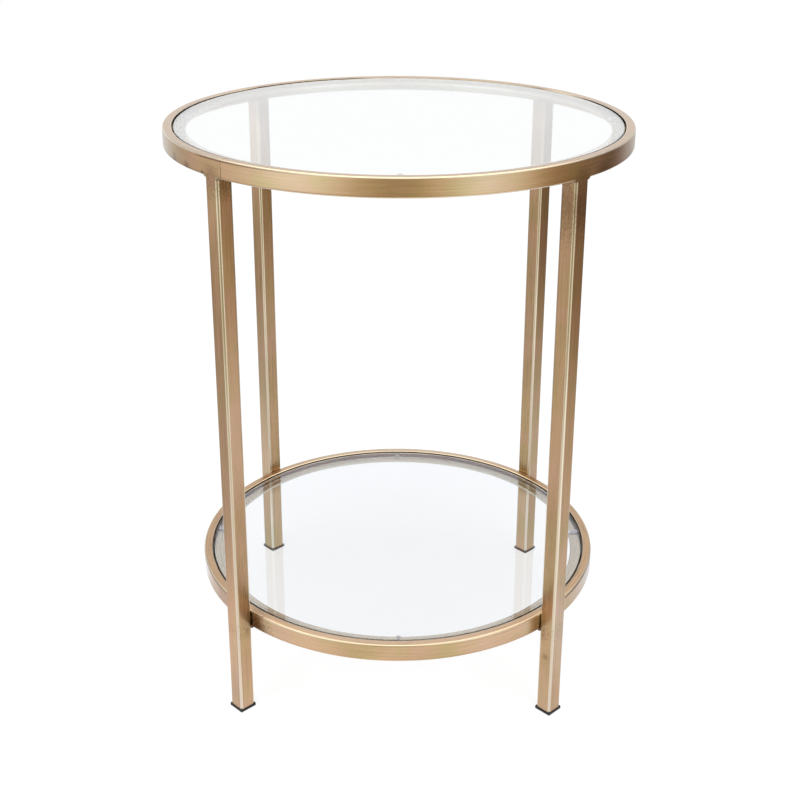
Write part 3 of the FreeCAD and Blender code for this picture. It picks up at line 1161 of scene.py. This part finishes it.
@dataclass
class Studio:
    """Floor, soft light and camera round the table.

    Metal and glass mirror a studio that is drawn for them alone: levels and tints by azimuth, which
    near the table are the floor's own.

    Attributes:
        floor_side: side of the square floor.
        floor_glow: light of the floor to the eye.
        floor_shade: grey of the floor to the eye, which takes the shadows.
        floor_bounce: grey of the floor to matt surfaces.
        camera_distance: level distance of the camera from the table's axis.
        camera_height: height of the camera above the floor.
        camera_azimuth: degrees that the camera stands round to the right of straight in front.
        camera_pitch: degrees that it looks down.
        camera_yaw: degrees that it looks to the right of the table's axis.
        camera_roll: degrees that it leans.
        camera_lens: focal length in millimetres on a 36 mm sensor.
        camera_shift: vertical lens shift.
        lamps: the soft boxes.
        lamp_target: the place that they face.
        fill: light that the world gives to matt surfaces.
        round_the_table: brightness and tint of the studio by azimuth.
        tint_gain: brings the studio's red back to 1, because its tint is a product of two colours that
            are at most 1.
        level_tints: tint of the studio by half its brightness: warm where it is dim, cool where it is
            bright.
        upper_wall: colour of the studio's walls above the backdrop.
        wall_rise: heights of the view between which the backdrop becomes the upper wall.
        overhead: colour of the soft box overhead.
        overhead_level: brightness of that soft box.
        overhead_rise: heights of the view between which the wall becomes the soft box.
        near_tints: tint of the floor beside the table by azimuth.
        near_gain: brings those tints, which are at most 1, up to the floor's brightness.
        near_reach: distances from the table's axis between which they give way to the studio's.
        blend_reach: distances between which the floor's brightness becomes the studio's.
        run_left: how the floor's brightness changes with the distance, left of the table, in metres.
        run_right: the same right of the table.
        run_peak: at least the greatest of those changes.
        side_blend: how far right of the middle the left side gives way to the right one, as a share of
            the distance.
    """

    floor_side: float = 60.0
    floor_glow: float = 0.82
    floor_shade: float = 0.3
    floor_bounce: float = 0.7
    camera_distance: float = 1.3921
    camera_height: float = 0.9257
    camera_azimuth: float = 0.699
    camera_pitch: float = 20.789
    camera_yaw: float = 0.077
    camera_roll: float = 0.2
    camera_lens: float = 59.254
    camera_shift: float = -0.1
    lamps: tuple[SoftBox, ...] = (
        SoftBox("soft_box_left", around(-136, 1.9, 0.9), (1.1, 1.8), 10.0),
        SoftBox("soft_box_right", around(-45, 1.9, 0.9), (1.1, 1.8), 10.0),
        SoftBox("soft_box_overhead", around(-90, 0.3, 2.3), (1.8, 1.8), 14.0),
    )
    lamp_target: Vector = field(default_factory=lambda: Vector((0, 0, 0.35)))
    fill: float = 0.6
    round_the_table: dict[float, tuple[float, str]] = field(
        default_factory=lambda: {
            -180: (1.02, "#D8D8E3"), -159: (1.33, "#D8DADA"), -140: (1.74, "#D8E1E7"),
            -124: (1.7, "#D8DCDD"), -106: (0.92, "#D8D8CB"), -89: (0.55, "#D8D8D1"),
            -71: (1.06, "#D8D5CC"), -54: (1.63, "#D8E5ED"), -34: (1.38, "#D8D6DE"),
            -18: (0.49, "#D8C9AD"), 0: (0.4, "#D8CEC3"), 18: (0.26, "#D8D3D3"),
            28: (0.13, "#D8C8BA"), 36: (0.36, "#D8DAEC"), 44: (0.62, "#D8E3FC"),
            54: (0.75, "#D8E5FC"), 78: (1.0, "#D8DAE5"), 102: (1.0, "#D8DAE5"),
            125: (0.95, "#D8E3FB"), 138: (0.85, "#D8E2F9"), 150: (0.7, "#D8DEED"),
            172: (0.98, "#D8D5E3"),
        }
    )
    tint_gain: float = 1.82
    level_tints: dict[float, str] = field(
        default_factory=lambda: {
            0.0: "#E7D7C8", 0.25: "#E7DAC8", 0.45: "#E7E3D1", 0.6: "#E7EBED", 0.8: "#E7F4FF",
        }
    )
    upper_wall: str = "#C9CFE2"
    wall_rise: tuple[float, float] = (0.26, 0.4)
    overhead: str = "#FFFAF4"
    overhead_level: float = 2.2
    overhead_rise: tuple[float, float] = (0.58, 0.75)
    near_tints: dict[float, str] = field(
        default_factory=lambda: {
            -180: "#A4A4AC", -172: "#A6A4AA", -165: "#B4AEB3", -158: "#C5C0C1", -150: "#C3C4C8",
            -141: "#B2B0BC", -127: "#C1C0C5", -108: "#B4B1AF", -90: "#C9C8C9", -72: "#B3B3AF",
            -55: "#BABCC2", -38: "#B6B4BA", -22: "#C6D1E8", -14: "#B2B4B5", -6: "#B6BABB",
            15: "#C4CCDB", 30: "#BCC2CF", 90: "#BFCCDC", 149: "#B3BFCB", 158: "#D7E5F4",
            167: "#C7CBD8", 174: "#B5B6BE",
        }
    )
    near_gain: float = 2.0
    near_reach: tuple[float, float] = (0.3, 1.6)
    blend_reach: tuple[float, float] = (0.15, 1.6)
    run_left: dict[float, float] = field(
        default_factory=lambda: {
            0.0: 1.0, 0.3: 0.98, 0.5: 0.88, 0.8: 0.68, 1.08: 0.68,
            1.28: 0.47, 1.75: 0.45, 2.05: 0.62, 2.5: 1.0,
        }
    )
    run_right: dict[float, float] = field(
        default_factory=lambda: {
            0.0: 1.0, 0.35: 0.96, 0.6: 1.08, 0.9: 1.07, 1.25: 0.88, 1.75: 0.7, 2.05: 0.58, 2.5: 1.0,
        }
    )
    run_peak: float = 1.2
    side_blend: float = 0.4

    def build(self) -> None:
        """Makes the floor, the world, the lamps and the camera."""
        bpy.context.scene.view_settings.view_transform = "Standard"
        self.make_floor()
        self.make_world()
        for lamp in self.lamps:
            lamp.build(self.lamp_target)
        self.make_camera()
        LOG.info("studio: floor, world, lamps and camera")

    def round_level(self, tree: NodeTree) -> Node:
        """Brightness of the studio at an azimuth.

        Args:
            tree: the node tree that gets it.

        Returns:
            The brightness.
        """
        half = tree.by_azimuth({azimuth: level / 2 for azimuth, (level, _) in self.round_the_table.items()})
        return tree.add("Math", half, 2.0, operation="MULTIPLY")

    def tinted(self, tree: NodeTree, level: Node) -> Node:
        """The studio's colour at a brightness.

        Args:
            tree: the node tree that gets it.
            level: the brightness.

        Returns:
            The colour, at that brightness.
        """
        half = tree.add("Math", level, 0.5, operation="MULTIPLY")
        by_level = tree.add("ValToRGB", half, stops=self.level_tints)
        by_azimuth = tree.by_azimuth({azimuth: tint for azimuth, (_, tint) in self.round_the_table.items()})
        tint = tree.add("VectorMath", by_level, by_azimuth, operation="MULTIPLY")
        gain = tree.add("Math", level, self.tint_gain, operation="MULTIPLY")
        return tree.add("VectorMath", tint, gain, operation="SCALE")

    @staticmethod
    def ray_kinds(tree: NodeTree) -> tuple[Node, Socket]:
        """Masks of what the eye sees, straight or through glass, and of what metal and glass mirror.

        Args:
            tree: the node tree that gets them.

        Returns:
            The two masks.
        """
        path = tree.add("LightPath").outputs
        seen = tree.add("Math", path["Is Camera Ray"], path["Is Transmission Ray"], operation="MAXIMUM")
        return seen, path["Is Glossy Ray"]

    def make_floor(self) -> None:
        """A pale floor: white to the eye with a faint shadow, and brighter near the table in metal."""
        mesh = bmesh.new()
        bmesh.ops.create_grid(mesh, x_segments=1, y_segments=1, size=self.floor_side / 2)
        floor = finished_object("floor", mesh)
        tree = NodeTree(bpy.data.materials.new("white paper floor"))
        seen, glossy = self.ray_kinds(tree)
        mirrored = tree.add("VectorMath", self.floor_in_metal(tree), glossy, operation="SCALE")
        white = (self.floor_glow, self.floor_glow, self.floor_glow, 1.0)
        glow = tree.add("Mix", seen, mirrored, white, data_type="RGBA")
        bounce = tree.add("Mix", glossy, self.floor_bounce, 0.0)
        paper = tree.add("BsdfDiffuse", tree.add("Mix", seen, bounce, self.floor_shade))
        both = tree.add("AddShader", paper, tree.add("Emission", glow))
        tree.add("OutputMaterial", both)
        dress(floor, tree.owner)

    def floor_in_metal(self, tree: NodeTree) -> Node:
        """The floor's colour in metal and glass, which runs into the studio's away from the table.

        Args:
            tree: the floor's node tree.

        Returns:
            The colour.
        """
        away = tree.add("VectorMath", tree.place, operation="LENGTH")
        blend = tree.add("MapRange", away, *self.blend_reach)
        level = tree.add("Mix", blend, 1.0, self.round_level(tree))
        reach = max(self.run_left)
        spread = tree.add("Math", away, reach, operation="DIVIDE")
        runs = []
        for run in (self.run_left, self.run_right):
            stops = {distance / reach: value / self.run_peak for distance, value in run.items()}
            runs.append(tree.add("ValToRGB", spread, stops=stops))
        beside = tree.add("Math", tree.axes[0], away, operation="DIVIDE")
        sides = (-self.side_blend, self.side_blend)
        beside = tree.add("MapRange", beside, *sides, interpolation_type="SMOOTHSTEP")
        run = tree.add("Mix", beside, *runs)
        run = tree.add("Math", run, self.run_peak, operation="MULTIPLY")
        level = tree.add("Math", level, run, operation="MULTIPLY")
        near = tree.add("MapRange", away, *self.near_reach, 1.0, 0.0, interpolation_type="SMOOTHSTEP")
        gain = tree.add("Math", level, self.near_gain, operation="MULTIPLY")
        beside_it = tree.add("VectorMath", tree.by_azimuth(self.near_tints), gain, operation="SCALE")
        return tree.add("Mix", near, self.tinted(tree, level), beside_it, data_type="RGBA")

    def make_world(self) -> None:
        """White to the eye, the studio's soft boxes and backdrop in metal, and plain light for the rest."""
        world = bpy.data.worlds.new("studio")
        bpy.context.scene.world = world
        tree = NodeTree(world, "Generated")
        seen, glossy = self.ray_kinds(tree)
        mirrored = self.tinted(tree, self.round_level(tree))
        soft_box = (*(Vector(linear(self.overhead)[:3]) * self.overhead_level), 1.0)
        for rise, above in ((self.wall_rise, self.upper_wall), (self.overhead_rise, soft_box)):
            high = tree.add("MapRange", tree.axes[2], *rise, interpolation_type="SMOOTHSTEP")
            mirrored = tree.add("Mix", high, mirrored, above, data_type="RGBA")
        fill = (self.fill, self.fill, self.fill, 1.0)
        light = tree.add("Mix", glossy, fill, mirrored, data_type="RGBA")
        colour = tree.add("Mix", seen, light, "#FFFFFF", data_type="RGBA")
        tree.add("OutputWorld", tree.add("Background", colour))

    def make_camera(self) -> None:
        """The camera in front of the table, a little to its right and looking down."""
        data = bpy.data.cameras.new("camera")
        data.lens = self.camera_lens
        data.sensor_width = 36.0
        data.shift_y = self.camera_shift
        camera = bpy.data.objects.new("camera", data)
        bpy.context.scene.collection.objects.link(camera)
        turn = Matrix.Rotation(math.radians(self.camera_azimuth), 4, "Z")
        place = Matrix.Translation((0, -self.camera_distance, self.camera_height))
        yaw = Matrix.Rotation(math.radians(-self.camera_yaw), 4, "Z")
        pitch = Matrix.Rotation(math.radians(90 - self.camera_pitch), 4, "X")
        roll = Matrix.Rotation(math.radians(self.camera_roll), 4, "Z")
        camera.matrix_world = turn @ place @ yaw @ pitch @ roll
        bpy.context.scene.camera = camera


LEG_SECTION = TubeSection(middle_out=mm(240.5), middle_up=0.0, width=mm(19), height=mm(19), corner=mm(3.2))
LEG_SPOTS = (
    PatinaSpot(around(45, mm(231), mm(104)), mm(26), 0.72),
    PatinaSpot(around(45, mm(236), mm(606)), mm(34), 0.72),
    PatinaSpot(around(-45, mm(240), mm(585)), mm(60), 0.62, at_every_leg=False),
    PatinaSpot(around(45, mm(243), mm(570)), mm(70), 0.42, at_every_leg=False),
    PatinaSpot(Vector((mm(163.3), mm(-176.8), mm(72))), mm(7), 0.45, at_every_leg=False),
)
TOP_RING_SPOTS = (
    PatinaSpot(around(45, mm(250), mm(610)), mm(18), 0.4),
    PatinaSpot(around(-138, mm(250), mm(609)), mm(6), 0.9, at_every_leg=False),
    PatinaSpot(around(-145, mm(250), mm(609)), mm(11), 0.75, at_every_leg=False),
    PatinaSpot(around(-152, mm(250), mm(611)), mm(11), 0.6, at_every_leg=False),
    PatinaSpot(around(-37, mm(250), mm(607)), mm(24), 0.5, at_every_leg=False),
    PatinaSpot(around(-20, mm(250), mm(608)), mm(20), 0.4, at_every_leg=False),
    PatinaSpot(around(104.8, mm(245), mm(628)), mm(3), 0.8, at_every_leg=False),
    PatinaSpot(around(94, mm(245), mm(628)), mm(3), 0.8, at_every_leg=False),
    PatinaSpot(around(89.2, mm(245), mm(628)), mm(2), 0.6, at_every_leg=False),
)
LOWER_RING_SPOTS = (
    PatinaSpot(around(45, mm(230), mm(108)), mm(9), 0.75),
    PatinaSpot(around(-131, mm(230), mm(106)), mm(32), 0.8, at_every_leg=False),
)
# Painted shade in the gap beside each glass, as a share by azimuth. The top glass lies against its ring at
# the rear, so the gap is open at the left and right.
TOP_GAP_SHADE = {-180: 1.0, -173: 0.6, -165: 0.0, -10: 0.0, -3: 1.0, 24: 1.0, 36: 0.0, 98: 0.0, 106: 1.0}
LOWER_GAP_SHADE = {-180: 1.0, 180: 1.0}
# Painted sheen on the top ring's top face.
TOP_RING_PAINTED_SHEEN = {-180: "#D4B592", 180: "#D4B592"}
# Painted sheen on the lower ring's top face, paler at the front and at the rear.
LOWER_RING_PAINTED_SHEEN = {
    -180: "#D3AE82", -150: "#D3AE82", -125: "#EBC9A2", -55: "#EBC9A2", -30: "#D3AE82",
    35: "#D3AE82", 65: "#E2CBA9", 115: "#E2CBA9", 145: "#D3AE82",
}
# Painted dark reflection lines under the rings' upper outer corners, as a share by azimuth.
TOP_DARK_REFLECTION_LINE = {-142: 0.0, -138: 0.9, -124: 0.7, -106: 0.0}
LOWER_DARK_REFLECTION_LINE = {
    -180: 1.0, -150: 1.0, -138: 0.0, -42: 0.0, -30: 1.0, 20: 1.0, 40: 0.0, 140: 0.0, 160: 0.9,
}


def main() -> None:
    """Builds the table's looks and the studio round it."""
    logging.basicConfig(level=logging.INFO, format="%(name)s: %(message)s")
    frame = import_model()
    nodes = frame["nodes"]
    weld = WeldedGold().material()
    Tier(
        "top",
        seam_azimuth=-131.9,
        spots=TOP_RING_SPOTS,
        gap_shade_by_azimuth=TOP_GAP_SHADE,
        body=("#C0A477", "#C6A47C", "#CAA482"),
        painted_top_sheen=TOP_RING_PAINTED_SHEEN,
        worn="#E0CDAE",
        # Painted shade on the inner corner at the rear.
        painted_rear_corner_shade="#A3937C",
        patina="#6A4426",
        dark_reflection_line=TOP_DARK_REFLECTION_LINE,
        glass=FloatGlass("clear float glass top", coat=1.0, coat_ior=1.7),
    ).build(nodes, weld)
    Tier(
        "lower",
        seam_azimuth=138.1,
        spots=LOWER_RING_SPOTS,
        gap_shade_by_azimuth=LOWER_GAP_SHADE,
        body=("#CDB384", "#D3B28A", "#D7B290"),
        painted_top_sheen=LOWER_RING_PAINTED_SHEEN,
        worn="#DDC9A8",
        painted_rear_corner_shade=None,
        patina="#552C12",
        dark_reflection_line=LOWER_DARK_REFLECTION_LINE,
        glass=FloatGlass("clear float glass shelf", coat=0.6),
    ).build(nodes, weld)
    gold = AntiqueGold("brushed antique gold legs", Grain.UP_THE_LEG, LEG_SECTION, LEG_SPOTS).material()
    plastic = MouldedPolypropylene().material()
    for place in LEG_AZIMUTHS:
        Leg(place).build(nodes, gold, weld, plastic)
    Studio().build()


if __name__ == "__main__":
    main()
